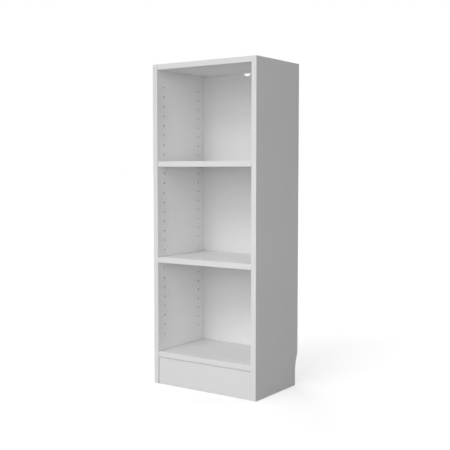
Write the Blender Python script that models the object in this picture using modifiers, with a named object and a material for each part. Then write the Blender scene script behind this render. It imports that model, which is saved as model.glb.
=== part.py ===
"""Narrow open bookcase in white faced board, with two removable shelves.

Frame: metres, +Z up. X runs across the width (+X is the right-hand side when
standing in front), Y runs from the front (-Y) to the wall (+Y). The origin is
on the floor, in the middle of the width and of the depth.

Every board, dowel, bolt, cam, cap, nail and shelf wire is one object. Pieces that
touch are drawn with a gap of GAP between them, and the boards between the side
panels are cut shorter than the opening, by END_GAP or PLINTH_END_GAP at each end.
"""
import math

import bmesh
import bpy
from mathutils import Matrix, Vector

# ------------------------------------------------------------- dimensions (m)
GAP = 0.0003              # drawn clearance between pieces that touch
HEIGHT = 1.071            # floor to the top of the side panels
WIDTH = 0.408             # across both side panels
BOARD = 0.018             # thickness of every faced board
SIDE_DEPTH = 0.261        # front edge to rear edge of a side panel
BACK = 0.003              # back panel
EDGE_ROUND = 0.0008       # rounding of the banded front edges

DEPTH = SIDE_DEPTH + BACK
FRONT = -DEPTH / 2        # plane of the side panels' front edges
REAR = FRONT + SIDE_DEPTH  # plane of the side panels' rear edges
INNER = WIDTH / 2 - BOARD  # half the clear width between the side panels

# heights: the boards are centred on the same 32 mm grid as the shelf holes
PITCH = 0.032
GRID_TOP = HEIGHT - BOARD / 2                  # 1.062, centre of the top panel
FIRST_HOLE = GRID_TOP - 2 * PITCH              # 0.998, highest shelf hole
HOLES_PER_ROW = 27
BOTTOM_Z = FIRST_HOLE - 28 * PITCH             # 0.102, centre of the bottom panel
UPPER_Z = FIRST_HOLE - 8 * PITCH               # 0.742, centre of the upper shelf
LOWER_Z = FIRST_HOLE - 18 * PITCH              # 0.422, centre of the lower shelf

# the two drilled lines, 36 mm in from each long edge of the side panel
LINE_INSET = 0.036
LINES_Y = (FRONT + LINE_INSET, FRONT + LINE_INSET + 6 * PITCH)
SHELF_HOLE_R = 0.0025
SHELF_HOLE_DEPTH = 0.012
SHELF_HOLE_SIDES = 8

# shelf wires: bent steel wire between the two lines, hidden in the shelf ends
WIRE_R = SHELF_HOLE_R - GAP
WIRE_IN = 0.0115          # length of each leg inside its hole
WIRE_STAND = 0.0070       # run's centreline, off the side panel's face
WIRE_BEND = 0.0050        # centreline bend radius
GROOVE_DEPTH = 0.0105
GROOVE_UP = WIRE_R + GAP  # groove above the wire's centreline
GROOVE_DOWN = WIRE_R + 0.0005
SHELF_SIDE_GAP = 0.0010
SHELF_SETBACK = 0.0010      # behind the side panels' front edges
SHELF_REAR_GAP = 0.001

# set-backs of the boards between the side panels
TOP_SETBACK = 0.0014
BOTTOM_SETBACK = 0.0012
PLINTH_SETBACK = 0.0025
END_GAP = 0.0009            # a fixed panel's end to the side panel
PLINTH_END_GAP = 0.0016
PLINTH_TOP_GAP = 0.0015
PLINTH_TOP = BOTTOM_Z - BOARD / 2

# connecting bolts and cams
CAM_R = 0.0075            # drilled radius for the cam
CAM_DRILL = 0.0136        # drilled depth for the cam
CAM_LOW = 0.0014          # board's lower face to the cam
CAM_H = 0.0118
CAP_T = 0.0010            # caps that close the top panel's cam bores
CAP_INSET = 0.0001
BOLT_REACH = 0.034        # side panel's face to the cam's centre
BOLT_BORE_R = 0.004       # bore along the board for the bolt
BOLT_HOLE_DEPTH = 0.012   # bolt's thread in the side panel
BOLT_HEAD_R = 0.0028

# dowels, 8 x 30
DOWEL_HOLE_R = 0.004
DOWEL_IN_SIDE = 0.0115
DOWEL_IN_BOARD = 0.0185
DOWELS_Y = (LINES_Y[0] + PITCH, LINES_Y[1] - PITCH)
PLINTH_DOWELS_Z = (0.030, 0.062)

# back panel and its nails
BACK_HALF_WIDTH = WIDTH / 2 - 0.002
BACK_LOW = BOTTOM_Z
BACK_HIGH = GRID_TOP
CUTOUT_R = 0.018          # half-round cut-out for a wall fixing
NAIL_R = 0.0007
NAIL_HEAD_R = 0.0016
NAIL_HEAD_T = 0.0008
NAIL_LEN = 0.018
NAIL_SIDES = 6
NAIL_ROW_Z = [0.142 + 0.220 * i for i in range(5)]
NAIL_ROW_X = (-0.110, 0.110)

# notch at the rear foot of each side panel, to stand over a skirting board
NOTCH_DEEP = 0.015
NOTCH_HIGH = 0.107
NOTCH_STRAIGHT = 0.055    # height where the curve meets the vertical part


# ------------------------------------------------------------------- helpers
def clear_scene():
    for obj in list(bpy.data.objects):
        bpy.data.objects.remove(obj, do_unlink=True)


def collection(name):
    coll = bpy.data.collections.get(name) or bpy.data.collections.new(name)
    if coll.name not in bpy.context.scene.collection.children:
        bpy.context.scene.collection.children.link(coll)
    return coll


def move_to(obj, coll):
    for other in list(obj.users_collection):
        other.objects.unlink(obj)
    coll.objects.link(obj)


def material(name, rgb, roughness, metallic=0.0):
    mat = bpy.data.materials.new(name)
    mat.use_nodes = True
    shader = mat.node_tree.nodes["Principled BSDF"]
    shader.inputs["Base Color"].default_value = (*rgb, 1.0)
    shader.inputs["Roughness"].default_value = roughness
    shader.inputs["Metallic"].default_value = metallic
    mat.diffuse_color = (*rgb, 1.0)
    return mat


def cube(name, low, high):
    """A block between two corners, with its scale applied."""
    low, high = Vector(low), Vector(high)
    bpy.ops.mesh.primitive_cube_add(size=1.0, location=(low + high) / 2)
    obj = bpy.context.active_object
    obj.name = obj.data.name = name
    obj.scale = high - low
    bpy.ops.object.transform_apply(location=False, rotation=False, scale=True)
    return obj


def round_front(obj, along):
    """Round the two long edges of the front face; along is 0 for X, 2 for Z."""
    mesh = obj.data
    front = min(v.co.y for v in mesh.vertices)
    weight = mesh.attributes.new("bevel_weight_edge", "FLOAT", "EDGE")
    for edge in mesh.edges:
        a, b = (mesh.vertices[i].co for i in edge.vertices)
        on_front = abs(a.y - front) < 1e-6 and abs(b.y - front) < 1e-6
        runs_along = abs(a[along] - b[along]) > 1e-3
        weight.data[edge.index].value = 1.0 if on_front and runs_along else 0.0
    bevel = obj.modifiers.new("Banded edge", "BEVEL")
    bevel.limit_method = "WEIGHT"
    bevel.width = EDGE_ROUND
    bevel.segments = 2


def board(name, low, high, mat, coll, along=None):
    obj = cube(name, low, high)
    if along is not None:
        round_front(obj, along)
    obj.data.materials.append(mat)
    move_to(obj, coll)
    return obj


def as_cutter(obj, coll):
    obj.hide_render = True
    obj.display_type = "WIRE"
    move_to(obj, coll)
    return obj


def drill(name, holes, coll):
    """One cutter holding a cylinder for each (start, direction, radius, depth, sides).

    A cylinder starts 1 mm in front of the drilled face, so that the cut is clean.
    """
    bm = bmesh.new()
    lead = 0.001
    for start, direction, radius, depth, sides in holes:
        axis = Vector(direction).normalized()
        centre = Vector(start) + axis * (depth - lead) / 2
        turn = Vector((0, 0, 1)).rotation_difference(axis).to_matrix().to_4x4()
        bmesh.ops.create_cone(bm, cap_ends=True, cap_tris=False, segments=sides,
                              radius1=radius, radius2=radius, depth=depth + lead,
                              matrix=Matrix.Translation(centre) @ turn)
    mesh = bpy.data.meshes.new(name)
    bm.to_mesh(mesh)
    bm.free()
    obj = bpy.data.objects.new(name, mesh)
    bpy.context.scene.collection.objects.link(obj)
    return as_cutter(obj, coll)


def subtract(obj, cutter):
    cut = obj.modifiers.new("Cut " + cutter.name, "BOOLEAN")
    cut.operation = "DIFFERENCE"
    cut.solver = "EXACT"
    cut.object = cutter


def outline_cutter(name, points, half, place, coll):
    """A flat outline, extruded by half each way, turned into a mesh cutter."""
    curve = bpy.data.curves.new(name, "CURVE")
    curve.dimensions = "2D"
    curve.fill_mode = "BOTH"
    curve.extrude = half
    spline = curve.splines.new("POLY")
    spline.points.add(len(points) - 1)
    for point, (u, v) in zip(spline.points, points):
        point.co = (u, v, 0.0, 1.0)
    spline.use_cyclic_u = True
    temp = bpy.data.objects.new(name + "_curve", curve)
    bpy.context.scene.collection.objects.link(temp)
    temp.matrix_world = place
    bpy.context.view_layer.update()
    seen = temp.evaluated_get(bpy.context.evaluated_depsgraph_get())
    mesh = bpy.data.meshes.new_from_object(seen)
    bm = bmesh.new()
    bm.from_mesh(mesh)
    bmesh.ops.remove_doubles(bm, verts=bm.verts, dist=0.000001)
    bmesh.ops.recalc_face_normals(bm, faces=bm.faces)
    bm.to_mesh(mesh)
    bm.free()
    obj = bpy.data.objects.new(name, mesh)
    bpy.context.scene.collection.objects.link(obj)
    obj.matrix_world = place
    bpy.data.objects.remove(temp, do_unlink=True)
    return as_cutter(obj, coll)


def turned(name, profile, steps, mat, coll, base, direction):
    """A turned piece: profile is (radius, height) from its top to its bottom.

    Height 0 goes to base, and growing height points along direction.
    """
    mesh = bpy.data.meshes.new(name)
    mesh.from_pydata([(r, 0.0, h) for r, h in profile],
                     [(i, i + 1) for i in range(len(profile) - 1)], [])
    obj = bpy.data.objects.new(name, mesh)
    coll.objects.link(obj)
    screw = obj.modifiers.new("Turn", "SCREW")
    screw.axis = "Z"
    screw.angle = 2 * math.pi
    screw.steps = steps
    screw.render_steps = steps
    screw.use_merge_vertices = True
    screw.merge_threshold = 0.00001
    screw.use_smooth_shade = False
    obj.location = base
    obj.rotation_mode = "QUATERNION"
    obj.rotation_quaternion = Vector((0, 0, 1)).rotation_difference(Vector(direction))
    obj.data.materials.append(mat)
    return obj


# ------------------------------------------------------------------ the model
clear_scene()
PARTS = collection("bookcase")
CUTTERS = collection("bookcase_cutters")

FACED = material("white_faced_board", (0.86, 0.86, 0.85), 0.42)
HARDBOARD = material("white_hardboard", (0.82, 0.82, 0.80), 0.55)
STEEL = material("zinc_plated_steel", (0.62, 0.63, 0.64), 0.32, 1.0)
CAST = material("die_cast_zinc", (0.50, 0.51, 0.52), 0.45, 1.0)
BEECH = material("beech", (0.66, 0.47, 0.28), 0.65)
CAP_PLASTIC = material("white_cap_plastic", (0.84, 0.84, 0.83), 0.45)

frame_empty = bpy.data.objects.new("bookcase_frame", None)
PARTS.objects.link(frame_empty)

SIDES = (("left", -1), ("right", 1))
BOARDS_WITH_CAMS = (("top", GRID_TOP), ("bottom", BOTTOM_Z))

# drilled holes are gathered per board, then cut in one go
side_holes = {"left": [], "right": []}
board_holes = {"top": [], "bottom": [], "plinth": []}
rear_holes = {"left": [], "right": [], "top": [], "bottom": []}
back_holes = []

for side, sign in SIDES:
    face_x = sign * INNER
    outward = (sign, 0, 0)
    # two lines of shelf holes
    for y in LINES_Y:
        for i in range(HOLES_PER_ROW):
            side_holes[side].append(((face_x, y, FIRST_HOLE - i * PITCH), outward,
                                     SHELF_HOLE_R, SHELF_HOLE_DEPTH, SHELF_HOLE_SIDES))
    # bolts and dowels that join the top and the bottom panel to the side
    for label, z in BOARDS_WITH_CAMS:
        end_x = sign * (INNER - GAP)
        for y in LINES_Y:
            side_holes[side].append(((face_x, y, z), outward, SHELF_HOLE_R,
                                     BOLT_HOLE_DEPTH, 10))
            board_holes[label].append(((end_x, y, z), (-sign, 0, 0), BOLT_BORE_R,
                                       BOLT_REACH - CAM_R + 0.003, 10))
            board_holes[label].append((
                (sign * (INNER - BOLT_REACH), y, z - BOARD / 2), (0, 0, 1), CAM_R,
                CAM_DRILL, 16))
        for y in DOWELS_Y:
            side_holes[side].append(((face_x, y, z), outward, DOWEL_HOLE_R,
                                     DOWEL_IN_SIDE + 0.0005, 12))
            board_holes[label].append(((end_x, y, z), (-sign, 0, 0), DOWEL_HOLE_R,
                                       DOWEL_IN_BOARD + 0.0005, 12))
    for z in PLINTH_DOWELS_Z:
        y = FRONT + PLINTH_SETBACK + BOARD / 2
        side_holes[side].append(((face_x, y, z), outward, DOWEL_HOLE_R,
                                 DOWEL_IN_SIDE + 0.0005, 12))
        board_holes["plinth"].append(((sign * (INNER - GAP), y, z), (-sign, 0, 0),
                                      DOWEL_HOLE_R, DOWEL_IN_BOARD + 0.0005, 12))

# nails: five up each side panel, two in the top panel, two in the bottom panel
nails = []
for side, sign in SIDES:
    for i, z in enumerate(NAIL_ROW_Z):
        nails.append((f"back_nail_{side}_{i + 1}", sign * (WIDTH - BOARD) / 2, z, side))
for label, z in (("top", BACK_HIGH - 0.0045), ("bottom", BACK_LOW + 0.0045)):
    for side, x in zip(("left", "right"), NAIL_ROW_X):
        nails.append((f"back_nail_{label}_{side}", x, z, label))
for name, x, z, label in nails:
    rear_holes[label].append(((x, REAR, z), (0, -1, 0), NAIL_R + GAP,
                              NAIL_LEN - BACK + 0.0005, NAIL_SIDES))
    back_holes.append(((x, REAR + BACK, z), (0, -1, 0), NAIL_R + GAP,
                       BACK + 0.001, NAIL_SIDES))
    back_holes.append(((x, REAR + BACK, z), (0, -1, 0), NAIL_HEAD_R + GAP,
                       NAIL_HEAD_T + GAP, NAIL_SIDES))


# the skirting notch: a curve that eases into a straight, vertical cut
def notch_points():
    start, ease, end = (0.0, NOTCH_HIGH), (0.012, 0.086), (NOTCH_DEEP, NOTCH_STRAIGHT)
    steps = 8
    points = []
    for i in range(steps + 1):
        t = i / steps
        a, b, c = (1 - t) ** 2, 2 * t * (1 - t), t * t
        depth = a * start[0] + b * ease[0] + c * end[0]
        z = a * start[1] + b * ease[1] + c * end[1]
        points.append((REAR - depth, z))
    points.append((REAR - NOTCH_DEEP, -0.005))
    points.append((REAR + 0.005, -0.005))
    points.append((REAR + 0.005, NOTCH_HIGH))
    return points


# side panels: full height, notched at the rear foot, drilled on the inner face
side_panels = {}
for side, sign in SIDES:
    x0, x1 = sorted((sign * INNER, sign * WIDTH / 2))
    panel = board(f"{side}_side_panel", (x0, FRONT, 0.0), (x1, REAR, HEIGHT),
                  FACED, PARTS, along=2)
    # the outline's own axes are the world's Y and Z
    place = Matrix.Translation(((x0 + x1) / 2, 0, 0)) @ Matrix(
        ((0, 0, 1, 0), (1, 0, 0, 0), (0, 1, 0, 0), (0, 0, 0, 1)))
    subtract(panel, outline_cutter(f"{side}_notch_cutter", notch_points(),
                                   BOARD, place, CUTTERS))
    subtract(panel, drill(f"{side}_line_cutter", side_holes[side], CUTTERS))
    subtract(panel, drill(f"{side}_nail_cutter", rear_holes[side], CUTTERS))
    side_panels[side] = panel

# top and bottom panels and the plinth board, between the side panels
reach = INNER - END_GAP
plinth_reach = INNER - PLINTH_END_GAP
top_panel = board("top_panel", (-reach, FRONT + TOP_SETBACK, HEIGHT - BOARD),
                  (reach, REAR, HEIGHT), FACED, PARTS, along=0)
bottom_panel = board("bottom_panel", (-reach, FRONT + BOTTOM_SETBACK, PLINTH_TOP),
                     (reach, REAR, PLINTH_TOP + BOARD), FACED, PARTS, along=0)
plinth_front = FRONT + PLINTH_SETBACK
plinth_board = board("plinth_board", (-plinth_reach, plinth_front, 0.0),
                     (plinth_reach, plinth_front + BOARD, PLINTH_TOP - PLINTH_TOP_GAP),
                     FACED, PARTS)
subtract(top_panel, drill("top_panel_cutter",
                          [h for h in board_holes["top"] if h[1][2] == 0], CUTTERS))
subtract(top_panel, drill("top_cam_cutter",
                          [h for h in board_holes["top"] if h[1][2] == 1], CUTTERS))
subtract(top_panel, drill("top_nail_cutter", rear_holes["top"], CUTTERS))
subtract(bottom_panel, drill("bottom_panel_cutter",
                             [h for h in board_holes["bottom"] if h[1][2] == 0], CUTTERS))
subtract(bottom_panel, drill("bottom_cam_cutter",
                             [h for h in board_holes["bottom"] if h[1][2] == 1], CUTTERS))
subtract(bottom_panel, drill("bottom_nail_cutter", rear_holes["bottom"], CUTTERS))
subtract(plinth_board, drill("plinth_cutter", board_holes["plinth"], CUTTERS))

# back panel, nailed on the rear edges, with the half-round cut-out at its top
back_panel = board("back_panel", (-BACK_HALF_WIDTH, REAR + GAP, BACK_LOW),
                   (BACK_HALF_WIDTH, REAR + BACK, BACK_HIGH), HARDBOARD, PARTS)
subtract(back_panel, drill("cutout_cutter", [
    ((0, REAR - 0.002, BACK_HIGH), (0, 1, 0), CUTOUT_R, BACK + 0.006, 32)], CUTTERS))
subtract(back_panel, drill("back_nail_cutter", back_holes[0::2], CUTTERS))
subtract(back_panel, drill("back_nail_head_cutter", back_holes[1::2], CUTTERS))

# shelves: a groove in each end, open at the rear and stopped before the front
shelf_half = INNER - SHELF_SIDE_GAP
groove_front = LINES_Y[0] - WIRE_R - 0.0008
for level, z in (("upper", UPPER_Z), ("lower", LOWER_Z)):
    guide = bpy.data.objects.new(f"{level}_shelf_slide", None)
    guide.location = (0, 0, z)
    PARTS.objects.link(guide)
    guide.parent = frame_empty
    shelf = board(f"{level}_shelf", (-shelf_half, FRONT + SHELF_SETBACK, z - BOARD / 2),
                  (shelf_half, REAR - SHELF_REAR_GAP, z + BOARD / 2), FACED, PARTS,
                  along=0)
    for side, sign in SIDES:
        xs = sorted((sign * (shelf_half - GROOVE_DEPTH), sign * (shelf_half + 0.002)))
        groove = as_cutter(cube(f"{level}_{side}_groove_cutter",
                                (xs[0], groove_front, z - GROOVE_DOWN),
                                (xs[1], REAR + 0.002, z + GROOVE_UP)), CUTTERS)
        subtract(shelf, groove)
    bpy.context.view_layer.update()
    world = shelf.matrix_world.copy()
    shelf.parent = guide
    shelf.matrix_parent_inverse = Matrix.Translation((0, 0, -z))
    shelf.matrix_world = world


# shelf wires: a leg in the front hole, a run along the shelf, a leg in the rear hole
def wire_points(sign, z):
    def at(off, y):
        return (sign * (INNER - off), y, z)

    front, rear = LINES_Y
    start = WIRE_STAND - WIRE_BEND
    points = [at(-WIRE_IN, front), at(start, front)]
    steps = 4
    for i in range(1, steps + 1):
        a = math.pi / 2 * i / steps
        points.append(at(start + WIRE_BEND * math.sin(a),
                         front + WIRE_BEND * (1 - math.cos(a))))
    mirror = [at(-WIRE_IN, rear), at(start, rear)]
    for i in range(1, steps + 1):
        a = math.pi / 2 * i / steps
        mirror.append(at(start + WIRE_BEND * math.sin(a),
                         rear - WIRE_BEND * (1 - math.cos(a))))
    return points + mirror[::-1]


for level, z in (("upper", UPPER_Z), ("lower", LOWER_Z)):
    for side, sign in SIDES:
        name = f"{level}_shelf_wire_{side}"
        curve = bpy.data.curves.new(name, "CURVE")
        curve.dimensions = "3D"
        curve.bevel_depth = WIRE_R
        curve.bevel_resolution = 2
        curve.use_fill_caps = True
        points = wire_points(sign, z)
        spline = curve.splines.new("POLY")
        spline.points.add(len(points) - 1)
        for point, co in zip(spline.points, points):
            point.co = (*co, 1.0)
        wire = bpy.data.objects.new(name, curve)
        curve.materials.append(STEEL)
        PARTS.objects.link(wire)
        wire.parent = frame_empty

# connecting bolts: heights run from the side panel's face into the board
bolt_profile = [
    (0.0, BOLT_REACH), (BOLT_HEAD_R, BOLT_REACH - 0.0008),
    (BOLT_HEAD_R, BOLT_REACH - 0.0025),
    (0.0016, BOLT_REACH - 0.0037), (0.0016, BOLT_REACH - 0.0085),
    (0.0030, BOLT_REACH - 0.0100), (0.0035, GAP),
    (SHELF_HOLE_R - GAP, GAP), (SHELF_HOLE_R - GAP, -0.0100),
    (0.0, -0.0115)]
for label, z in BOARDS_WITH_CAMS:
    for side, sign in SIDES:
        for end, y in zip(("front", "rear"), LINES_Y):
            bolt = turned(f"{label}_bolt_{side}_{end}", bolt_profile, 8, STEEL, PARTS,
                          (sign * INNER, y, z), (-sign, 0, 0))
            bolt.parent = frame_empty

            # cam: a short drum with a claw for the bolt's head and a cross recess
            cam_x = sign * (INNER - BOLT_REACH)
            low = z - BOARD / 2 + CAM_LOW
            bpy.ops.mesh.primitive_cylinder_add(vertices=16, radius=CAM_R - GAP,
                                                depth=CAM_H,
                                                location=(cam_x, y, low + CAM_H / 2))
            cam = bpy.context.active_object
            cam.name = cam.data.name = f"{label}_cam_{side}_{end}"
            cam.data.materials.append(CAST)
            move_to(cam, PARTS)
            claw_r = BOLT_HEAD_R + GAP
            xs = sorted((cam_x - sign * 0.0012, cam_x + sign * (CAM_R + 0.002)))
            subtract(cam, as_cutter(cube(cam.name + "_claw_cutter",
                                         (xs[0], y - claw_r, z - claw_r),
                                         (xs[1], y + claw_r, z + claw_r)), CUTTERS))
            for tag, (dx, dy) in (("a", (0.0034, 0.0007)), ("b", (0.0007, 0.0034))):
                subtract(cam, as_cutter(cube(f"{cam.name}_recess_{tag}",
                                             (cam_x - dx, y - dy, low - 0.002),
                                             (cam_x + dx, y + dy, low + 0.0018)),
                                        CUTTERS))
            cam.parent = frame_empty

            # cap: a flush disc with a cross that pushes into the cam's recess
            if label == "top":
                under = z - BOARD / 2 + CAP_INSET
                bpy.ops.mesh.primitive_cylinder_add(
                    vertices=16, radius=CAM_R - GAP, depth=CAP_T,
                    location=(cam_x, y, under + CAP_T / 2))
                cap = bpy.context.active_object
                cap.name = cap.data.name = f"top_cam_cap_{side}_{end}"
                cap.data.materials.append(CAP_PLASTIC)
                move_to(cap, PARTS)
                for tag, (dx, dy) in (("a", (0.0031, 0.0004)), ("b", (0.0004, 0.0031))):
                    bar = as_cutter(cube(f"{cap.name}_bar_{tag}",
                                         (cam_x - dx, y - dy, under + CAP_T / 2),
                                         (cam_x + dx, y + dy, low + 0.0014)), CUTTERS)
                    join = cap.modifiers.new("Cross", "BOOLEAN")
                    join.operation = "UNION"
                    join.object = bar
                cap.parent = frame_empty


# dowels: round pegs with chamfered ends
def dowel(name, sign, y, z):
    length = DOWEL_IN_SIDE + DOWEL_IN_BOARD
    middle = sign * (INNER + (DOWEL_IN_SIDE - DOWEL_IN_BOARD) / 2)
    bpy.ops.mesh.primitive_cylinder_add(vertices=12, radius=DOWEL_HOLE_R - GAP,
                                        depth=length, location=(middle, y, z),
                                        rotation=(0, math.pi / 2, 0))
    peg = bpy.context.active_object
    peg.name = peg.data.name = name
    chamfer = peg.modifiers.new("Chamfer", "BEVEL")
    chamfer.limit_method = "ANGLE"
    chamfer.angle_limit = math.radians(60)
    chamfer.width = 0.001
    chamfer.segments = 1
    peg.data.materials.append(BEECH)
    move_to(peg, PARTS)
    peg.parent = frame_empty


for side, sign in SIDES:
    for label, z in BOARDS_WITH_CAMS:
        for end, y in zip(("front", "rear"), DOWELS_Y):
            dowel(f"{label}_dowel_{side}_{end}", sign, y, z)
    for level, z in zip(("low", "high"), PLINTH_DOWELS_Z):
        dowel(f"plinth_dowel_{side}_{level}", sign, plinth_front + BOARD / 2, z)

# nails: flat heads let in flush with the back panel's rear face
nail_profile = [
    (0.0, 0.0), (NAIL_HEAD_R, 0.0), (NAIL_HEAD_R, -NAIL_HEAD_T), (NAIL_R, -NAIL_HEAD_T),
    (NAIL_R, -NAIL_LEN + 0.002), (0.0, -NAIL_LEN)]
for name, x, z, label in nails:
    nail = turned(name, nail_profile, NAIL_SIDES, STEEL, PARTS,
                  (x, REAR + BACK, z), (0, 1, 0))
    nail.parent = frame_empty

for obj in (*side_panels.values(), top_panel, bottom_panel, plinth_board, back_panel):
    obj.parent = frame_empty

# round pieces shade smooth, with their edges kept sharp
for obj in PARTS.objects:
    if obj.type == "MESH" and any(k in obj.name for k in ("dowel", "cam", "bolt", "nail")):
        obj.data.shade_smooth()
        if len(obj.data.polygons):
            obj.data.set_sharp_from_angle(angle=math.radians(40))
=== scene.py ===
import math

import bmesh
import bpy
from mathutils import Matrix, Vector


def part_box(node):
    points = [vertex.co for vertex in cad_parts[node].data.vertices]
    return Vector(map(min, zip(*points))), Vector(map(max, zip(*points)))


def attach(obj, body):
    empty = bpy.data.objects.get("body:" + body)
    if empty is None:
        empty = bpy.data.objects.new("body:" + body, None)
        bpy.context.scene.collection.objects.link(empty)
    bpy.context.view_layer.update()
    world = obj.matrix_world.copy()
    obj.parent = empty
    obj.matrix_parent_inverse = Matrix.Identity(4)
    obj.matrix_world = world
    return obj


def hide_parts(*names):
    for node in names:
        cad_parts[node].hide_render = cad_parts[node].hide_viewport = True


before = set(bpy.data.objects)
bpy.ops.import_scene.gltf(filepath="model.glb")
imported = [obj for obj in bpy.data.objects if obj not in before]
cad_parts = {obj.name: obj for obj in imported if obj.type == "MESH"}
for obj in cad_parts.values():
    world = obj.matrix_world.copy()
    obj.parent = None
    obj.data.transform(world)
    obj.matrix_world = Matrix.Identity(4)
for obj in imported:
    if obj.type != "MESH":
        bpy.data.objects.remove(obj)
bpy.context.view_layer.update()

# ---------------------------------------------------------------- places (m)
LEFT_LO, LEFT_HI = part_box("left_side_panel")
TOP_LO, TOP_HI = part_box("top_panel")
BOTTOM_LO, BOTTOM_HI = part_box("bottom_panel")
PLINTH_LO, PLINTH_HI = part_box("plinth_board")
BACK_LO, BACK_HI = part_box("back_panel")

FRONT, REAR = LEFT_LO.y, LEFT_HI.y
INNER, OUTER = -LEFT_HI.x, -LEFT_LO.x
HEIGHT = LEFT_HI.z
BOARD = TOP_HI.z - TOP_LO.z
PITCH = 0.032
TOP_Z = (TOP_LO.z + TOP_HI.z) / 2
BOTTOM_Z = (BOTTOM_LO.z + BOTTOM_HI.z) / 2
FIRST_HOLE = TOP_Z - 2 * PITCH
LINES_Y = (FRONT + 0.036, FRONT + 0.036 + 6 * PITCH)
DOWELS_Y = (LINES_Y[0] + PITCH, LINES_Y[1] - PITCH)
PLINTH_DOWELS_Z = (0.030, 0.062)
HOLE_R, HOLE_DEPTH = 0.0025, 0.012
BAND = 0.0008            # thickness of the edge banding
SEAM = 0.00003           # glue line between banding and board
SIDES = (("left", -1), ("right", 1))


# ------------------------------------------------------------------ materials
class Nodes:
    """A small helper that adds nodes to one material."""

    def __init__(self, name, roughness=0.5, metallic=0.0):
        self.mat = bpy.data.materials.new(name)
        self.mat.use_nodes = True
        self.tree = self.mat.node_tree
        self.shader = self.tree.nodes["Principled BSDF"]
        self.shader.inputs["Roughness"].default_value = roughness
        self.shader.inputs["Metallic"].default_value = metallic
        self.coords = self.tree.nodes.new("ShaderNodeTexCoord").outputs["Object"]

    def link(self, a, b):
        self.tree.links.new(a, b)

    def mapped(self, scale=(1, 1, 1), rotation=(0, 0, 0)):
        node = self.tree.nodes.new("ShaderNodeMapping")
        node.inputs["Scale"].default_value = scale
        node.inputs["Rotation"].default_value = rotation
        self.link(self.coords, node.inputs["Vector"])
        return node.outputs["Vector"]

    def noise(self, scale, detail=2.0, rough=0.5, vector=None, distortion=0.0):
        node = self.tree.nodes.new("ShaderNodeTexNoise")
        node.inputs["Scale"].default_value = scale
        node.inputs["Detail"].default_value = detail
        node.inputs["Roughness"].default_value = rough
        node.inputs["Distortion"].default_value = distortion
        self.link(vector or self.coords, node.inputs["Vector"])
        return node.outputs["Fac"]

    def voronoi(self, scale, vector=None, feature="F1", output="Distance", randomness=1.0):
        node = self.tree.nodes.new("ShaderNodeTexVoronoi")
        node.feature = feature
        node.inputs["Scale"].default_value = scale
        node.inputs["Randomness"].default_value = randomness
        self.link(vector or self.coords, node.inputs["Vector"])
        return node.outputs[output]

    def ramp(self, value, stops):
        node = self.tree.nodes.new("ShaderNodeValToRGB")
        ramp = node.color_ramp
        while len(ramp.elements) < len(stops):
            ramp.elements.new(0.5)
        for element, (at, colour) in zip(ramp.elements, stops):
            element.position = at
            element.color = (*colour, 1.0)
        self.link(value, node.inputs["Fac"])
        return node.outputs["Color"]

    def spread(self, value, low, high, from_low=0.0, from_high=1.0):
        node = self.tree.nodes.new("ShaderNodeMapRange")
        node.inputs["From Min"].default_value = from_low
        node.inputs["From Max"].default_value = from_high
        node.inputs["To Min"].default_value = low
        node.inputs["To Max"].default_value = high
        self.link(value, node.inputs["Value"])
        return node.outputs["Result"]

    def mix(self, factor, a, b, blend="MIX"):
        node = self.tree.nodes.new("ShaderNodeMix")
        node.data_type = "RGBA"
        node.blend_type = blend
        ins = [s for s in node.inputs if s.enabled]
        for socket, value in zip(ins, (factor, a, b)):
            if isinstance(value, bpy.types.NodeSocket):
                self.link(value, socket)
            elif isinstance(value, tuple):
                socket.default_value = (*value, 1.0)
            else:
                socket.default_value = value
        return [s for s in node.outputs if s.enabled][0]

    def math(self, operation, a, b=0.0):
        node = self.tree.nodes.new("ShaderNodeMath")
        node.operation = operation
        for socket, value in zip(node.inputs, (a, b)):
            if isinstance(value, bpy.types.NodeSocket):
                self.link(value, socket)
            else:
                socket.default_value = value
        return node.outputs["Value"]

    def colour(self, socket):
        self.link(socket, self.shader.inputs["Base Color"])

    def roughness(self, socket):
        self.link(socket, self.shader.inputs["Roughness"])

    def bump(self, *layers):
        """layers are (height, distance in metres, strength)."""
        last = None
        for height, distance, strength in layers:
            node = self.tree.nodes.new("ShaderNodeBump")
            node.inputs["Distance"].default_value = distance
            node.inputs["Strength"].default_value = strength
            self.link(height, node.inputs["Height"])
            if last is not None:
                self.link(last, node.inputs["Normal"])
            last = node.outputs["Normal"]
        self.link(last, self.shader.inputs["Normal"])


WHITE = 0.90


def melamine():
    """White melamine paper pressed on board: a fine pearl grain with a satin gloss."""
    n = Nodes("white_melamine")
    cloud = n.noise(5.0, 3.0, 0.55)
    pearl = n.noise(1400.0, 2.0, 0.6)
    speck = n.voronoi(900.0)
    tone = n.ramp(cloud, [(0.30, (WHITE * 0.985,) * 3), (0.70, (WHITE * 1.010,) * 3)])
    fine = n.ramp(pearl, [(0.25, (0.965,) * 3), (0.75, (1.0,) * 3)])
    n.colour(n.mix(1.0, tone, fine, "MULTIPLY"))
    n.roughness(n.spread(n.noise(40.0, 4.0, 0.6), 0.36, 0.47))
    n.bump((pearl, 0.00003, 0.35), (speck, 0.00002, 0.30))
    return n.mat


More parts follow.
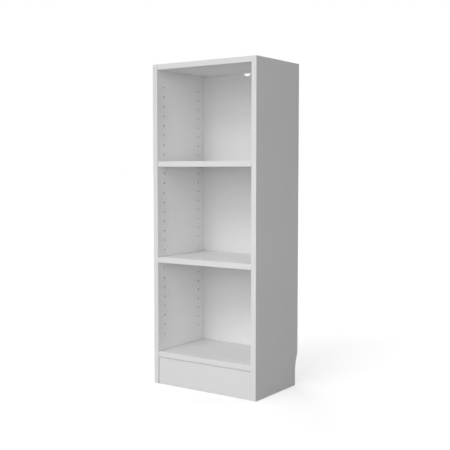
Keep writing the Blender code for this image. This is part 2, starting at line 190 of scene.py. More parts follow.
def banding(along):
    """White edge banding: smoother than the faces, with faint lines along its length."""
    n = Nodes("white_edge_band_" + along)
    stretch = {"x": (40.0, 2200.0, 2200.0), "y": (2200.0, 40.0, 2200.0),
               "z": (2200.0, 2200.0, 40.0)}[along]
    lines = n.noise(1.0, 2.0, 0.5, vector=n.mapped(stretch))
    cloud = n.noise(9.0, 2.0, 0.5)
    tone = n.ramp(cloud, [(0.3, (WHITE * 0.995,) * 3), (0.7, (WHITE * 1.015,) * 3)])
    fine = n.ramp(lines, [(0.3, (0.985,) * 3), (0.7, (1.0,) * 3)])
    n.colour(n.mix(1.0, tone, fine, "MULTIPLY"))
    n.roughness(n.spread(lines, 0.30, 0.40))
    n.bump((lines, 0.00002, 0.35))
    return n.mat


def chipboard():
    """The cut core of the board: pressed wood chips with small dark gaps."""
    n = Nodes("raw_chipboard", 0.9)
    chips = n.voronoi(520.0, vector=n.mapped((1.0, 1.0, 2.2)), output="Color")
    grey = n.tree.nodes.new("ShaderNodeSeparateColor")
    n.link(chips, grey.inputs["Color"])
    tone = n.ramp(grey.outputs["Red"], [(0.0, (0.30, 0.195, 0.105)), (0.35, (0.44, 0.31, 0.18)),
                                        (0.7, (0.55, 0.41, 0.26)), (1.0, (0.66, 0.53, 0.36))])
    gaps = n.noise(900.0, 3.0, 0.7)
    dark = n.ramp(gaps, [(0.36, (0.30, 0.25, 0.20)), (0.50, (1.0, 1.0, 1.0))])
    n.colour(n.mix(1.0, tone, dark, "MULTIPLY"))
    n.roughness(n.spread(gaps, 0.95, 0.80))
    n.bump((grey.outputs["Green"], 0.00015, 0.6), (gaps, 0.0002, 0.7))
    return n.mat


def hardboard_front():
    """The back panel's lacquered front: thin white paint over pressed fibres."""
    n = Nodes("white_hardboard_front")
    fibre = n.noise(1.0, 4.0, 0.6, vector=n.mapped((260.0, 260.0, 700.0)))
    cloud = n.noise(4.0, 3.0, 0.5)
    tone = n.ramp(cloud, [(0.3, (WHITE * 0.975,) * 3), (0.7, (WHITE * 1.0,) * 3)])
    fine = n.ramp(fibre, [(0.25, (0.96,) * 3), (0.65, (1.0,) * 3)])
    n.colour(n.mix(1.0, tone, fine, "MULTIPLY"))
    n.roughness(n.spread(fibre, 0.48, 0.60))
    n.bump((fibre, 0.00004, 0.4))
    return n.mat


def hardboard_rear():
    """The back panel's unpainted rear: brown fibres with the press screen's mesh."""
    n = Nodes("hardboard_rear", 0.85)
    fibre = n.noise(240.0, 6.0, 0.7, distortion=0.6)
    cloud = n.noise(7.0, 3.0, 0.5)
    tone = n.ramp(fibre, [(0.25, (0.235, 0.145, 0.082)), (0.5, (0.375, 0.250, 0.150)),
                          (0.78, (0.500, 0.355, 0.225))])
    wash = n.ramp(cloud, [(0.3, (0.88,) * 3), (0.7, (1.0,) * 3)])
    n.colour(n.mix(1.0, tone, wash, "MULTIPLY"))
    split = n.tree.nodes.new("ShaderNodeSeparateXYZ")
    n.link(n.coords, split.inputs["Vector"])
    wave = 2 * math.pi / 0.0016
    across = n.math("SINE", n.math("MULTIPLY", split.outputs["X"], wave))
    up = n.math("SINE", n.math("MULTIPLY", split.outputs["Z"], wave))
    screen = n.math("MULTIPLY", across, up)
    n.roughness(n.spread(fibre, 0.78, 0.92))
    n.bump((screen, 0.00012, 0.5), (fibre, 0.0001, 0.5))
    return n.mat


def zinc(name, colour, low, high, grain=1800.0):
    """Metal hardware: plated steel or die-cast zinc, with a fine uneven surface."""
    n = Nodes(name, 0.35, 1.0)
    patch = n.noise(600.0, 3.0, 0.6)
    tone = n.ramp(patch, [(0.3, tuple(c * 0.90 for c in colour)), (0.7, colour)])
    n.colour(tone)
    fine = n.noise(grain, 3.0, 0.6)
    n.roughness(n.spread(fine, low, high))
    n.bump((fine, 0.00003, 0.4))
    return n.mat


def beech(name="beech_wood"):
    """Plain beech, grain along X, with the short dark flecks beech has."""
    n = Nodes(name, 0.65)
    grain = n.noise(1.0, 4.0, 0.6, vector=n.mapped((60.0, 900.0, 900.0)), distortion=0.4)
    fleck = n.noise(1.0, 2.0, 0.5, vector=n.mapped((420.0, 2600.0, 2600.0)))
    tone = n.ramp(grain, [(0.3, (0.47, 0.30, 0.165)), (0.55, (0.60, 0.42, 0.25)),
                          (0.75, (0.70, 0.52, 0.33))])
    dark = n.ramp(fleck, [(0.30, (0.62, 0.50, 0.40)), (0.42, (1.0, 1.0, 1.0))])
    n.colour(n.mix(1.0, tone, dark, "MULTIPLY"))
    n.roughness(n.spread(grain, 0.55, 0.75))
    n.bump((grain, 0.00008, 0.5), (fleck, 0.00005, 0.4))
    return n.mat


def drilled_wall():
    """The wall of a drilled hole: the same chips, burnished pale by the drill."""
    n = Nodes("drilled_wall", 0.85)
    chips = n.noise(700.0, 4.0, 0.7)
    tone = n.ramp(chips, [(0.30, (0.30, 0.28, 0.255)), (0.55, (0.43, 0.41, 0.38)),
                          (0.75, (0.52, 0.50, 0.47))])
    rings = n.noise(1.0, 1.0, 0.5, vector=n.mapped((2400.0, 200.0, 200.0)))
    dark = n.ramp(rings, [(0.3, (0.88,) * 3), (0.7, (1.0,) * 3)])
    n.colour(n.mix(1.0, tone, dark, "MULTIPLY"))
    n.roughness(n.spread(chips, 0.90, 0.75))
    n.bump((chips, 0.0001, 0.6), (rings, 0.00005, 0.4))
    return n.mat


def cap_plastic():
    """White moulded caps, with the fine matt grain of a spark-eroded mould."""
    n = Nodes("white_cap_plastic", 0.45)
    grain = n.noise(2600.0, 2.0, 0.6)
    tone = n.ramp(n.noise(120.0, 2.0, 0.5), [(0.3, (WHITE * 0.985,) * 3),
                                            (0.7, (WHITE * 1.0,) * 3)])
    n.colour(tone)
    n.roughness(n.spread(grain, 0.40, 0.52))
    n.bump((grain, 0.00002, 0.4))
    return n.mat


MELAMINE = melamine()
BAND_X, BAND_Y, BAND_Z = banding("x"), banding("y"), banding("z")
CHIP = chipboard()
BACK_FRONT, BACK_REAR = hardboard_front(), hardboard_rear()
STEEL = zinc("zinc_plated_steel", (0.70, 0.71, 0.73), 0.22, 0.38)
CAST = zinc("die_cast_zinc", (0.52, 0.53, 0.54), 0.38, 0.55, 900.0)
BEECH = beech()
BORE = drilled_wall()
CAP = cap_plastic()


# ------------------------------------------------------------- mesh helpers
def facing(normal):
    i = max(range(3), key=lambda k: abs(normal[k]))
    return "xyz"[i] + ("+" if normal[i] > 0 else "-")


def block(lo, hi, finish, rounded=(), radius=0.0005, segments=3):
    """A block. finish maps a facing such as "y-" to a material index, "" to the rest.

    rounded lists the edges to round, each as the two facings that meet there.
    """
    bm = bmesh.new()
    bmesh.ops.create_cube(bm, size=1.0)
    lo, hi = Vector(lo), Vector(hi)
    for v in bm.verts:
        v.co = Vector((lo[i] if v.co[i] < 0 else hi[i]) for i in range(3))
    bm.normal_update()
    wanted = {frozenset(pair) for pair in rounded}
    edges = [e for e in bm.edges
             if frozenset(facing(f.normal) for f in e.link_faces) in wanted]
    if edges:
        bmesh.ops.bevel(bm, geom=edges, offset=radius, offset_type="OFFSET",
                        segments=segments, profile=0.5, affect="EDGES",
                        clamp_overlap=True)
        bm.normal_update()
    for f in bm.faces:
        f.material_index = finish.get(facing(f.normal), finish.get("", 0))
    return bm


def to_object(name, bm, materials):
    mesh = bpy.data.meshes.new(name)
    bm.normal_update()
    bm.to_mesh(mesh)
    bm.free()
    for m in materials:
        mesh.materials.append(m)
    obj = bpy.data.objects.new(name, mesh)
    bpy.context.scene.collection.objects.link(obj)
    return obj


def bake(obj):
    """Applies the object's modifiers to its mesh."""
    bpy.context.view_layer.update()
    graph = bpy.context.evaluated_depsgraph_get()
    mesh = bpy.data.meshes.new_from_object(obj.evaluated_get(graph), depsgraph=graph,
                                           preserve_all_data_layers=True)
    old = obj.data
    obj.modifiers.clear()
    obj.data = mesh
    mesh.name = obj.name
    bpy.data.meshes.remove(old)
    return obj


def cut(obj, *cutters):
    """Cuts obj with each cutter; the cut faces wear the cutter's material."""
    for cutter in cutters:
        m = obj.modifiers.new("cut", "BOOLEAN")
        m.operation = "DIFFERENCE"
        m.solver = "EXACT"
        m.material_mode = "TRANSFER"
        m.object = cutter
    bake(obj)
    for cutter in cutters:
        mesh = cutter.data
        bpy.data.objects.remove(cutter, do_unlink=True)
        bpy.data.meshes.remove(mesh)
    return obj


def drill(name, holes, material, sides=24):
    """One cutter of cylinders: (start, direction, radius, depth), 1 mm proud."""
    bm = bmesh.new()
    lead = 0.001
    for start, direction, radius, depth in holes:
        axis = Vector(direction).normalized()
        centre = Vector(start) + axis * (depth - lead) / 2
        turn = Vector((0, 0, 1)).rotation_difference(axis).to_matrix().to_4x4()
        bmesh.ops.create_cone(bm, cap_ends=True, cap_tris=False, segments=sides,
                              radius1=radius, radius2=radius, depth=depth + lead,
                              matrix=Matrix.Translation(centre) @ turn)
    return to_object(name, bm, [material])


def smooth(obj, angle=35):
    """Smooth shading with sharp corners, the large flat faces kept flat."""
    mesh = obj.data
    mesh.shade_smooth()
    mesh.set_sharp_from_angle(angle=math.radians(angle))
    m = obj.modifiers.new("weighted", "WEIGHTED_NORMAL")
    m.mode = "FACE_AREA"
    m.weight = 100
    m.keep_sharp = True
    return bake(obj)


def place(obj, body, slot, *nodes):
    if nodes:
        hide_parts(*nodes)
    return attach(obj, body)


def lathe(bm, profile, steps, matrix):
    """Turns a profile of (radius, height), from its top to its bottom, into bm."""
    rings = []
    for r, h in profile:
        if r < 1e-9:
            rings.append([bm.verts.new(matrix @ Vector((0, 0, h)))])
        else:
            rings.append([bm.verts.new(matrix @ Vector((r * math.cos(2 * math.pi * k / steps),
                                                        r * math.sin(2 * math.pi * k / steps),
                                                        h))) for k in range(steps)])
    for a, b in zip(rings, rings[1:]):
        for k in range(steps):
            j = (k + 1) % steps
            corners = [a[k % len(a)], b[k % len(b)], b[j % len(b)], a[j % len(a)]]
            unique = [v for i, v in enumerate(corners) if v not in corners[:i]]
            if len(unique) > 2:
                bm.faces.new(unique)


# ------------------------------------------------------------- side panels
def notch_cutter(x0, x1, material):
    """The skirting notch's outline, extruded across one side panel."""
    start, ease, end = (0.0, 0.107), (0.012, 0.086), (0.015, 0.055)
    points = []
    for i in range(25):
        t = i / 24
        a, b, c = (1 - t) ** 2, 2 * t * (1 - t), t * t
        points.append((REAR - (a * start[0] + b * ease[0] + c * end[0]),
                       a * start[1] + b * ease[1] + c * end[1]))
    points += [(REAR - 0.015, -0.005), (REAR + 0.005, -0.005), (REAR + 0.005, 0.107)]
    bm = bmesh.new()
    near = [bm.verts.new((x0 - 0.002, y, z)) for y, z in points]
    face = bm.faces.new(near)
    made = bmesh.ops.extrude_face_region(bm, geom=[face])
    moved = [v for v in made["geom"] if isinstance(v, bmesh.types.BMVert)]
    bmesh.ops.translate(bm, verts=moved, vec=(x1 - x0 + 0.004, 0, 0))
    bmesh.ops.recalc_face_normals(bm, faces=bm.faces)
    return to_object("notch_cutter", bm, [material])


NAIL_ZS = [0.142 + 0.220 * i for i in range(5)]
NAILS = [(f"back_nail_{side}_{i + 1}", sign * (OUTER - BOARD / 2), z)
         for side, sign in SIDES for i, z in enumerate(NAIL_ZS)]
NAILS += [(f"back_nail_{label}_{side}", x, z)
          for label, z in (("top", BACK_HI.z - 0.0045), ("bottom", BACK_LO.z + 0.0045))
          for side, x in (("left", -0.110), ("right", 0.110))]
NAIL_R, NAIL_LEN = 0.0007, 0.018


def nail_holes(label):
    return [((x, REAR, z), (0, -1, 0), NAIL_R + 0.0001, NAIL_LEN - 0.003 + 0.0005)
            for name, x, z in NAILS if name.split("_")[2] == label]


for side, sign in SIDES:
    x0, x1 = sorted((sign * INNER, sign * OUTER))
    name = f"{side}_side_panel"
    bm = block((x0, FRONT + BAND + SEAM, 0.0), (x1, REAR, HEIGHT - BAND - SEAM),
               {"x-": 0, "x+": 0, "": 1}, (), 0)
    panel = to_object(name + "_board", bm, [MELAMINE, CHIP])
    inner = sign * INNER
    out = (sign, 0, 0)
    holes = [((inner, y, FIRST_HOLE - i * PITCH), out, HOLE_R, HOLE_DEPTH)
             for y in LINES_Y for i in range(27)]
    holes += [((inner, y, z), out, HOLE_R, HOLE_DEPTH)
              for z in (TOP_Z, BOTTOM_Z) for y in LINES_Y]
    holes += [((inner, y, z), out, 0.004, 0.012)
              for z in (TOP_Z, BOTTOM_Z) for y in DOWELS_Y]
    holes += [((inner, (PLINTH_LO.y + PLINTH_HI.y) / 2, z), out, 0.004, 0.012)
              for z in PLINTH_DOWELS_Z]
    cut(panel, notch_cutter(x0, x1, BAND_Z), drill("holes", holes, BORE),
        drill("nail_holes", nail_holes(side), CHIP, 12))
    place(smooth(panel), "carcass", "faced_board", name)

    front = block((x0, FRONT, 0.0), (x1, FRONT + BAND, HEIGHT), {}, (
        ("y-", "x-"), ("y-", "x+"), ("y-", "z+")), 0.0005, 4)
    place(smooth(to_object(name + "_front_band", front, [BAND_Z])), "carcass", "faced_board")
    top = block((x0, FRONT + BAND + SEAM, HEIGHT - BAND), (x1, REAR, HEIGHT), {}, (
        ("z+", "x-"), ("z+", "x+")), 0.0005, 4)
    place(smooth(to_object(name + "_top_band", top, [BAND_Y])), "carcass", "faced_board")


# --------------------------------------------- top and bottom panels, plinth
CAM_X = INNER - 0.034
for label, lo, hi, z in (("top", TOP_LO, TOP_HI, TOP_Z),
                         ("bottom", BOTTOM_LO, BOTTOM_HI, BOTTOM_Z)):
    bm = block((lo.x, lo.y + BAND + SEAM, lo.z), (hi.x, hi.y, hi.z),
               {"z-": 0, "z+": 0, "": 1}, (), 0)
    panel = to_object(f"{label}_panel_board", bm, [MELAMINE, CHIP])
    bores, seats = [], []
    for side, sign in SIDES:
        end = sign * hi.x
        bores += [((end, y, z), (-sign, 0, 0), 0.004, 0.0295) for y in LINES_Y]
        bores += [((end, y, z), (-sign, 0, 0), 0.004, 0.019) for y in DOWELS_Y]
        seats += [((sign * CAM_X, y, lo.z), (0, 0, 1), 0.0075, 0.0136) for y in LINES_Y]
    cut(panel, drill("bores", bores, CHIP), drill("seats", seats, CHIP, 48),
        drill("nail_holes", nail_holes(label), CHIP, 12))
    place(smooth(panel), "carcass", "faced_board", f"{label}_panel")
    front = block((lo.x, lo.y, lo.z), (hi.x, lo.y + BAND, hi.z), {}, (
        ("y-", "z-"), ("y-", "z+")), 0.0005, 4)
    place(smooth(to_object(f"{label}_panel_front_band", front, [BAND_X])),
          "carcass", "faced_board")

bm = block(PLINTH_LO, PLINTH_HI, {"y-": 0, "y+": 0, "": 2}, (
    ("y-", "z-"), ("y-", "z+")), 0.0003, 2)
plinth = to_object("plinth_board_board", bm, [MELAMINE, CHIP, BAND_X])
cut(plinth, drill("bores", [
    ((sign * PLINTH_HI.x, (PLINTH_LO.y + PLINTH_HI.y) / 2, z), (-sign, 0, 0), 0.004, 0.019)
    for side, sign in SIDES for z in PLINTH_DOWELS_Z], CHIP))
place(smooth(plinth), "carcass", "faced_board", "plinth_board")


# ---------------------------------------------------------------- back panel
bm = block(BACK_LO, BACK_HI, {"y-": 0, "": 1}, (), 0)
back = to_object("back_panel_sheet", bm, [BACK_FRONT, BACK_REAR])
nail_bores = [((x, BACK_HI.y, z), (0, -1, 0), NAIL_R + 0.0001, 0.004) for _, x, z in NAILS]
nail_seats = [((x, BACK_HI.y, z), (0, -1, 0), 0.00175, 0.0009) for _, x, z in NAILS]
cut(back, drill("cutout", [((0, BACK_LO.y - 0.001, BACK_HI.z), (0, 1, 0), 0.018, 0.008)],
                BACK_REAR, 96),
    drill("nail_bores", nail_bores, BACK_REAR, 12),
    drill("nail_seats", nail_seats, BACK_REAR, 24))
place(smooth(back), "carcass", "hardboard_back", "back_panel")


# ------------------------------------------------------------------- shelves
for level in ("upper", "lower"):
    lo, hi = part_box(f"{level}_shelf")
    z = (lo.z + hi.z) / 2
    bm = block((lo.x, lo.y + BAND + SEAM, lo.z), (hi.x, hi.y, hi.z),
               {"z-": 0, "z+": 0, "": 1}, (), 0)
    shelf = to_object(f"{level}_shelf_board", bm, [MELAMINE, CHIP])
    grooves = []
    for side, sign in SIDES:
        xs = sorted((sign * (hi.x - 0.0105), sign * (hi.x + 0.002)))
        g = block((xs[0], LINES_Y[0] - 0.003, z - 0.0027), (xs[1], REAR + 0.002, z + 0.0025),
                  {}, (("y-", "x-"), ("y-", "x+")), 0.004, 6)
        grooves.append(to_object(f"groove_{side}", g, [CHIP]))
    cut(shelf, *grooves)
    place(smooth(shelf), f"{level}_shelf", "faced_board", f"{level}_shelf")
    front = block((lo.x, lo.y, lo.z), (hi.x, lo.y + BAND, hi.z), {}, (
        ("y-", "z-"), ("y-", "z+")), 0.0005, 4)
    place(smooth(to_object(f"{level}_shelf_front_band", front, [BAND_X])),
          f"{level}_shelf", "faced_board")


# --------------------------------------------------------------- shelf wires
def wire_path(sign, z):
    stand, bend, leg = 0.0070, 0.0050, 0.0115
    start = stand - bend

    def at(off, y):
        return Vector((sign * (INNER - off), y, z))

    front, rear = LINES_Y
    path = [at(-leg, front), at(-leg + 0.0007, front), at(-0.006, front), at(start, front)]
    for i in range(1, 11):
        a = math.pi / 2 * i / 10
        path.append(at(start + bend * math.sin(a), front + bend * (1 - math.cos(a))))
    half = [at(stand, front + (rear - front) * k / 8) for k in range(1, 8)]
    back_way = [at(-leg, rear), at(-leg + 0.0007, rear), at(-0.006, rear), at(start, rear)]
    for i in range(1, 11):
        a = math.pi / 2 * i / 10
        back_way.append(at(start + bend * math.sin(a), rear - bend * (1 - math.cos(a))))
    return path + half + back_way[::-1]


def tube(name, path, radius, sides, material):
    """A round wire along a path in a level plane, its two ends eased."""
    bm = bmesh.new()
    rings = []
    for i, p in enumerate(path):
        ahead = path[min(i + 1, len(path) - 1)] - path[max(i - 1, 0)]
        ahead.normalize()
        up = Vector((0, 0, 1))
        side = ahead.cross(up).normalized()
        r = radius * (0.72 if i in (0, len(path) - 1) else 1.0)
        rings.append([bm.verts.new(p + r * (math.cos(2 * math.pi * k / sides) * side
                                            + math.sin(2 * math.pi * k / sides) * up))
                      for k in range(sides)])
    for a, b in zip(rings, rings[1:]):
        for k in range(sides):
            j = (k + 1) % sides
            bm.faces.new((a[k], a[j], b[j], b[k]))
    bm.faces.new(rings[0][::-1])
    bm.faces.new(rings[-1])
    bmesh.ops.recalc_face_normals(bm, faces=bm.faces)
    return to_object(name, bm, [material])


for level in ("upper", "lower"):
    lo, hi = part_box(f"{level}_shelf")
    for side, sign in SIDES:
        node = f"{level}_shelf_wire_{side}"
        wire = tube(node + "_steel", wire_path(sign, (lo.z + hi.z) / 2), 0.0022, 20, STEEL)
        place(smooth(wire, 50), "carcass", "plated_steel", node)


# ------------------------------------------------- bolts, cams, dowels, nails
def along(base, direction):
    turn = Vector((0, 0, 1)).rotation_difference(Vector(direction)).to_matrix().to_4x4()
    return Matrix.Translation(base) @ turn


def threaded(bm, radius, depth, pitch, low, high, steps, matrix, cap_low=0.0):
    """A screw thread from high down to low, as one helical surface, joined to rings."""
    rows = int(round((high - low) / pitch * 8))
    rings = []
    for i in range(rows + 1):
        h = high + (low - high) * i / rows
        fade = min(1.0, (high - h) / (0.5 * pitch), (h - low) / (0.5 * pitch) + 0.25)
        ring = []
        for k in range(steps):
            a = 2 * math.pi * k / steps
            u = ((h / pitch) - k / steps) % 1.0
            crest = max(0.0, 1.0 - abs(u - 0.5) * 3.2)
            r = radius - depth + depth * crest * max(0.0, fade)
            ring.append(bm.verts.new(matrix @ Vector((r * math.cos(a), r * math.sin(a), h))))
        rings.append(ring)
    for a, b in zip(rings, rings[1:]):
        for k in range(steps):
            j = (k + 1) % steps
            bm.faces.new((a[k], b[k], b[j], a[j]))
    tip = bm.verts.new(matrix @ Vector((0, 0, low - cap_low)))
    for k in range(steps):
        bm.faces.new((rings[-1][k], tip, rings[-1][(k + 1) % steps]))
    return rings[0]


def bolt(name, base, direction):
    bm = bmesh.new()
    m = along(base, direction)
    reach, steps = 0.034, 24
    profile = [(0.0, reach), (0.0016, reach), (0.0024, reach - 0.0004), (0.0028, reach - 0.0011),
               (0.0028, reach - 0.0022), (0.0025, reach - 0.0029), (0.0016, reach - 0.0038),
               (0.0016, reach - 0.0085), (0.0030, reach - 0.0100), (0.0030, 0.0040),
               (0.0030, 0.0021), (0.0035, 0.0017), (0.0035, 0.0006), (0.0033, 0.0003),
               (0.0015, 0.0003)]
    lathe(bm, profile, steps, m)
    bm.verts.ensure_lookup_table()
    last = [v for v in bm.verts][-steps:]
    first = threaded(bm, 0.0022, 0.0007, 0.0018, -0.0105, 0.0001, steps, m, 0.001)
    for k in range(steps):
        j = (k + 1) % steps
        bm.faces.new((last[k], first[k], first[j], last[j]))
    bmesh.ops.recalc_face_normals(bm, faces=bm.faces)
    return smooth(to_object(name, bm, [STEEL]), 40)


def cam(name, sign, x, y, low, mid):
    """The cam's drum, its claw for the bolt's head, a cross recess and an arrow."""
    bm = bmesh.new()
    r, height = 0.0072, 0.0118
    lathe(bm, [(0.0, height), (r - 0.0005, height), (r, height - 0.0005), (r, 0.0022),
               (r - 0.0002, 0.0020), (r - 0.0002, 0.0014), (r, 0.0012), (r, 0.0003),
               (r - 0.0003, 0.0), (r - 0.0009, 0.0), (r - 0.0011, 0.00025), (0.0, 0.00025)],
          64, Matrix.Translation((x, y, low)))
    bmesh.ops.recalc_face_normals(bm, faces=bm.faces)
    obj = to_object(name, bm, [CAST])
    cutters = []
    xs = sorted((x - sign * 0.0012, x + sign * 0.010))
    cutters.append(to_object("claw", block((xs[0], y - 0.0031, mid - 0.0031),
                                           (xs[1], y + 0.0031, mid + 0.0031), {}), [CAST]))
    for turn in (0, 90):
        bm = bmesh.new()
        # a bar whose sides draw in towards its floor
        for (w, d, h) in ((0.00085, 0.0036, -0.001), (0.00085, 0.0036, 0.00025),
                          (0.00065, 0.0034, 0.0020)):
            for sx, sy in ((-1, -1), (1, -1), (1, 1), (-1, 1)):
                bm.verts.new((sx * w, sy * d, h))
        bm.verts.ensure_lookup_table()
        v = list(bm.verts)
        for lvl in (0, 4):
            for k in range(4):
                j = (k + 1) % 4
                bm.faces.new((v[lvl + k], v[lvl + j], v[lvl + 4 + j], v[lvl + 4 + k]))
        bm.faces.new(v[0:4][::-1])
        bm.faces.new(v[8:12])
        bmesh.ops.recalc_face_normals(bm, faces=bm.faces)
        bmesh.ops.transform(bm, matrix=Matrix.Translation((x, y, low))
                            @ Matrix.Rotation(math.radians(turn), 4, "Z"), verts=bm.verts)
        cutters.append(to_object("recess", bm, [CAST]))
    # the arrow that points at the panel's end
    bm = bmesh.new()
    tip = x + sign * 0.0060
    tri = [(tip, y), (tip - sign * 0.0014, y + 0.0010), (tip - sign * 0.0014, y - 0.0010)]
    near = [bm.verts.new((a, b, low - 0.001)) for a, b in tri]
    far = [bm.verts.new((a, b, low + 0.0006)) for a, b in tri]
    bm.faces.new(near)
    bm.faces.new(far[::-1])
    for k in range(3):
        j = (k + 1) % 3
        bm.faces.new((near[k], far[k], far[j], near[j]))
    bmesh.ops.recalc_face_normals(bm, faces=bm.faces)
    cutters.append(to_object("arrow", bm, [CAST]))
    cut(obj, *cutters)
    return smooth(obj, 35)


def cap(name, x, y, low):
    """A flush cap over a cam: a disc with a low crown, and a cross that plugs the cam."""
    bm = bmesh.new()
    r = 0.0072
    lathe(bm, [(0.0, 0.0010), (r - 0.0003, 0.0010), (r, 0.0007), (r, 0.0003),
               (r - 0.0001, 0.00012), (r - 0.0004, 0.00003), (0.0040, 0.0), (0.0012, 0.0),
               (0.0010, 0.00012), (0.0, 0.00016)],
          64, Matrix.Translation((x, y, low)))
    bmesh.ops.recalc_face_normals(bm, faces=bm.faces)
    obj = to_object(name, bm, [CAP])
    bars = [to_object("bar", block((x - dx, y - dy, low + 0.0005), (x + dx, y + dy, low + 0.0027),
                                   {}), [CAP])
            for dx, dy in ((0.0031, 0.0004), (0.0004, 0.0031))]
    for bar in bars:
        m = obj.modifiers.new("join", "BOOLEAN")
        m.operation = "UNION"
        m.solver = "EXACT"
        m.object = bar
    bake(obj)
    for bar in bars:
        mesh = bar.data
        bpy.data.objects.remove(bar, do_unlink=True)
        bpy.data.meshes.remove(mesh)
    return smooth(obj, 35)


def dowel(name, sign, y, z):
    """A fluted peg: shallow grooves along it, and chamfered ends."""
    bm = bmesh.new()
    radius, flutes, per = 0.0037, 18, 6
    x0, x1 = sign * (INNER + 0.0115), sign * (INNER - 0.0185)
    a, b = sorted((x0, x1))
    steps = flutes * per
    rings = []
    for x, shrink in ((a, 0.80), (a + 0.0006, 0.92), (a + 0.0014, 1.0), (b - 0.0014, 1.0),
                      (b - 0.0006, 0.92), (b, 0.80)):
        ring = []
        for k in range(steps):
            t = 2 * math.pi * k / steps
            groove = 0.00022 * (0.5 + 0.5 * math.cos(flutes * t)) ** 2
            r = min(radius * shrink, radius - groove)
            ring.append(bm.verts.new((x, y + r * math.cos(t), z + r * math.sin(t))))
        rings.append(ring)
    for p, q in zip(rings, rings[1:]):
        for k in range(steps):
            j = (k + 1) % steps
            bm.faces.new((p[k], q[k], q[j], p[j]))
    bm.faces.new(rings[0])
    bm.faces.new(rings[-1][::-1])
    bmesh.ops.recalc_face_normals(bm, faces=bm.faces)
    return smooth(to_object(name, bm, [BEECH]), 35)


def nail(name, x, z):
    bm = bmesh.new()
    lathe(bm, [(0.0, -0.00002), (0.0009, -0.00004), (0.00145, -0.00014), (0.0016, -0.0003),
               (0.0016, -0.0006), (0.0014, -0.0008), (NAIL_R, -0.0010),
               (NAIL_R, -NAIL_LEN + 0.0022), (0.0, -NAIL_LEN)],
          24, along((x, BACK_HI.y, z), (0, 1, 0)))
    bmesh.ops.recalc_face_normals(bm, faces=bm.faces)
    return smooth(to_object(name, bm, [STEEL]), 40)


for side, sign in SIDES:
    for label, z in (("top", TOP_Z), ("bottom", BOTTOM_Z)):
        for end, y in zip(("front", "rear"), LINES_Y):
            node = f"{label}_bolt_{side}_{end}"
            place(bolt(node + "_steel", (sign * INNER, y, z), (-sign, 0, 0)),
                  "carcass", "plated_steel", node)
            node = f"{label}_cam_{side}_{end}"
            place(cam(node + "_zinc", sign, sign * CAM_X, y, z - BOARD / 2 + 0.0014, z),
                  "carcass", "cast_cam", node)
            if label == "top":
                node = f"top_cam_cap_{side}_{end}"
                place(cap(node + "_plastic", sign * CAM_X, y, z - BOARD / 2 + 0.0001),
                      "carcass", "cap_plastic", node)
        for end, y in zip(("front", "rear"), DOWELS_Y):
            node = f"{label}_dowel_{side}_{end}"
            place(dowel(node + "_wood", sign, y, z), "carcass", "beech_dowel", node)
    for level, z in zip(("low", "high"), PLINTH_DOWELS_Z):
        node = f"plinth_dowel_{side}_{level}"
        place(dowel(node + "_wood", sign, (PLINTH_LO.y + PLINTH_HI.y) / 2, z),
              "carcass", "beech_dowel", node)
for node, x, z in NAILS:
    place(nail(node + "_steel", x, z), "carcass", "plated_steel", node)


# --------------------------------------------------- floor, light and camera
scene = bpy.context.scene
scene.view_settings.view_transform = "Standard"
scene.view_settings.look = "None"

floor_mesh = bpy.data.meshes.new("floor")
bm = bmesh.new()
bmesh.ops.create_grid(bm, x_segments=1, y_segments=1, size=60.0)
bm.to_mesh(floor_mesh)
bm.free()
floor = bpy.data.objects.new("floor", floor_mesh)
scene.collection.objects.link(floor)
floor_mat = bpy.data.materials.new("pale_floor")
floor_mat.use_nodes = True
tree = floor_mat.node_tree
tree.nodes.remove(tree.nodes["Principled BSDF"])
shaded = tree.nodes.new("ShaderNodeBsdfDiffuse")
shaded.inputs["Color"].default_value = (0.60, 0.60, 0.60, 1)
glow = tree.nodes.new("ShaderNodeEmission")
glow.inputs["Strength"].default_value = 0.530
lit = tree.nodes.new("ShaderNodeAddShader")
bounce = tree.nodes.new("ShaderNodeBsdfDiffuse")
bounce.inputs["Color"].default_value = (0.20, 0.20, 0.20, 1)
pick = tree.nodes.new("ShaderNodeMixShader")
path = tree.nodes.new("ShaderNodeLightPath")
tree.links.new(shaded.outputs["BSDF"], lit.inputs[0])
tree.links.new(glow.outputs["Emission"], lit.inputs[1])
tree.links.new(path.outputs["Is Camera Ray"], pick.inputs["Fac"])
tree.links.new(bounce.outputs["BSDF"], pick.inputs[1])
tree.links.new(lit.outputs["Shader"], pick.inputs[2])
tree.links.new(pick.outputs["Shader"], tree.nodes["Material Output"].inputs["Surface"])
floor_mesh.materials.append(floor_mat)

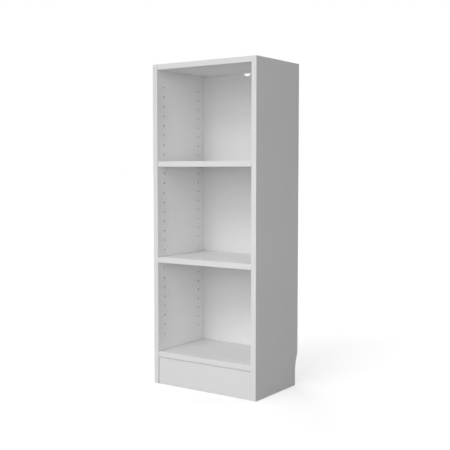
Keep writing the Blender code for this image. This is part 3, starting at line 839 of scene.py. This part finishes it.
world = bpy.data.worlds.new("studio")
scene.world = world
world.use_nodes = True
wt = world.node_tree
ambient = wt.nodes["Background"]
ambient.inputs["Color"].default_value = (1, 1, 1, 1)
ambient.inputs["Strength"].default_value = 0.0
white = wt.nodes.new("ShaderNodeBackground")
white.inputs["Color"].default_value = (1.0, 1.0, 1.0, 1)
choose = wt.nodes.new("ShaderNodeMixShader")
path = wt.nodes.new("ShaderNodeLightPath")
wt.links.new(path.outputs["Is Camera Ray"], choose.inputs["Fac"])
wt.links.new(ambient.outputs["Background"], choose.inputs[1])
wt.links.new(white.outputs["Background"], choose.inputs[2])
wt.links.new(choose.outputs["Shader"], wt.nodes["World Output"].inputs["Surface"])


def toward(azimuth, elevation):
    """Azimuth 0 is in front of the bookcase and 90 at its right; both in degrees."""
    a, e = math.radians(azimuth), math.radians(elevation)
    return Vector((math.sin(a) * math.cos(e), -math.cos(a) * math.cos(e), math.sin(e)))


def aim(data, azimuth, elevation, centre=None, distance=0.0):
    obj = bpy.data.objects.new(data.name, data)
    scene.collection.objects.link(obj)
    source = toward(azimuth, elevation)
    if centre is not None:
        obj.location = Vector(centre) + source * distance
    obj.rotation_mode = "QUATERNION"
    obj.rotation_quaternion = source.to_track_quat("Z", "Y")
    return obj


def broad(name, azimuth, elevation, strength):
    """A very soft distant light, like a large diffuser."""
    data = bpy.data.lights.new(name, "SUN")
    data.energy = strength
    data.angle = math.radians(35)
    return aim(data, azimuth, elevation)


def softbox(name, azimuth, elevation, watts):
    """A square softbox 2.2 m from the middle of the bookcase."""
    data = bpy.data.lights.new(name, "AREA")
    data.energy = watts
    data.shape = "SQUARE"
    data.size = 1.0
    return aim(data, azimuth, elevation, (0, 0, 0.55), 2.2)


softbox("softbox_left", -25, 0, 2.88)
softbox("softbox_right", 25, 0, 4.94)
softbox("softbox_far_right", 50, 0, 0.72)
broad("key_front_left", -15, 25, 0.437)
broad("key_front_high", 0, 45, 0.870)
broad("fill_front_low", 0, 6, 0.449)
broad("fill_right_low", 60, 6, 0.796)
broad("fill_left_high", -60, 65, 0.613)
broad("rim_rear_left", -120, 45, 0.949)
broad("rim_rear_right", 150, 45, 0.823)

camera_data = bpy.data.cameras.new("camera")
camera_data.lens = 66.44
camera_data.sensor_width = 36.0
camera = bpy.data.objects.new("camera", camera_data)
scene.collection.objects.link(camera)
camera.location = (1.5792, -2.2826, 0.7251)
camera.rotation_euler = (math.radians(86.157), 0.0, math.radians(34.74))
scene.camera = camera
